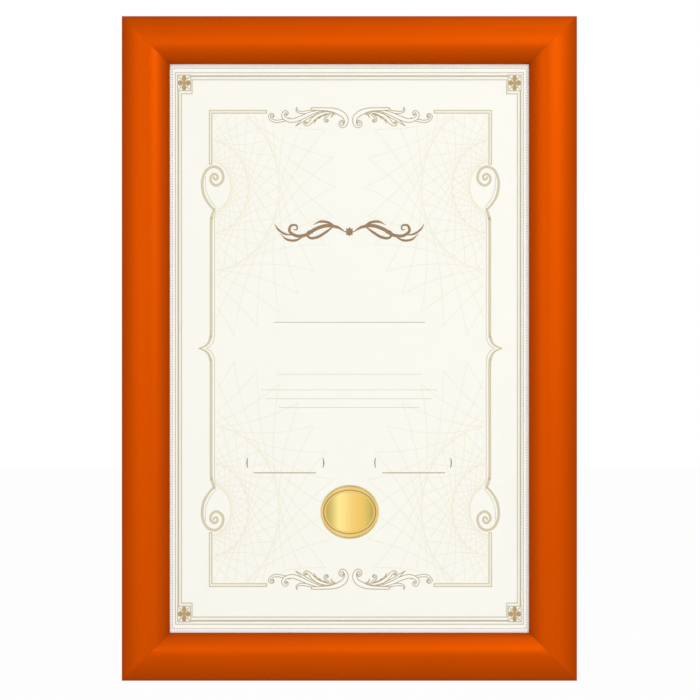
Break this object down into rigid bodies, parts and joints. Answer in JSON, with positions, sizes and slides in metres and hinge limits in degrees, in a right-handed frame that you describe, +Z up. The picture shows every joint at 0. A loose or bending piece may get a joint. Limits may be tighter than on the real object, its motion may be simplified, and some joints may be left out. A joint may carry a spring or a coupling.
{
  "type": "snap frame",
  "caption": "Wall-hung portrait snap frame with mitred rounded rails whose sprung front covers hinge open to change the sheet; shown with a certificate sheet.",
  "frame": {"origin": "middle of the frame in the wall plane, where the backs of the four rails stand", "axes": "+Z up along the frame's long side, +X to the right seen from the front, the front faces -Y and the wall is at y = 0"},
  "size_m": [0.3314, 0.015, 0.4838],
  "materials": {
    "cover_paint": "orange powder coat, satin to semi-gloss",
    "base_aluminium": "satin anodised extrusion",
    "spring_steel": "tempered strip, light oil",
    "key_steel": "zinc plated pressing",
    "screw_steel": "black oxide",
    "panel_plastic": "extruded polystyrene sheet",
    "print_paper": "uncoated ivory stock with gold-brown print",
    "clear_plastic": "clear sheet, low glare"
  },
  "bodies": {
    "frame": {"base_top": "base_aluminium", "base_right": "base_aluminium", "base_bottom": "base_aluminium", "base_left": "base_aluminium", "spring_top_a": "spring_steel", "spring_top_b": "spring_steel", "spring_right_a": "spring_steel", "spring_right_b": "spring_steel", "spring_bottom_a": "spring_steel", "spring_bottom_b": "spring_steel", "spring_left_a": "spring_steel", "spring_left_b": "spring_steel", "corner_key_top_left": "key_steel", "corner_key_top_right": "key_steel", "corner_key_bottom_right": "key_steel", "corner_key_bottom_left": "key_steel", "grub_screw_top_left_a": "screw_steel", "grub_screw_top_left_b": "screw_steel", "grub_screw_top_right_a": "screw_steel", "grub_screw_top_right_b": "screw_steel", "grub_screw_bottom_right_a": "screw_steel", "grub_screw_bottom_right_b": "screw_steel", "grub_screw_bottom_left_a": "screw_steel", "grub_screw_bottom_left_b": "screw_steel", "backing_panel": "panel_plastic", "certificate": "print_paper", "clear_sheet": "clear_plastic"},
    "top_cover": {"cover_top": "cover_paint"},
    "right_cover": {"cover_right": "cover_paint"},
    "bottom_cover": {"cover_bottom": "cover_paint"},
    "left_cover": {"cover_left": "cover_paint"}
  },
  "joints": [
    {"name": "top_cover_hinge", "type": "hinge", "parent": "frame", "child": "top_cover", "pos_m": [0, -0.0074, 0.23976], "axis": [-1, 0, 0], "range_deg": [0, 100], "deforming": ["spring_top_a", "spring_top_b"]},
    {"name": "right_cover_hinge", "type": "hinge", "parent": "frame", "child": "right_cover", "pos_m": [0.16356, -0.0074, 0], "axis": [0, 0, 1], "range_deg": [0, 100], "deforming": ["spring_right_a", "spring_right_b"]},
    {"name": "bottom_cover_hinge", "type": "hinge", "parent": "frame", "child": "bottom_cover", "pos_m": [0, -0.0074, -0.23976], "axis": [1, 0, 0], "range_deg": [0, 100], "deforming": ["spring_bottom_a", "spring_bottom_b"]},
    {"name": "left_cover_hinge", "type": "hinge", "parent": "frame", "child": "left_cover", "pos_m": [-0.16356, -0.0074, 0], "axis": [0, 0, -1], "range_deg": [0, 100], "deforming": ["spring_left_a", "spring_left_b"]}
  ]
}
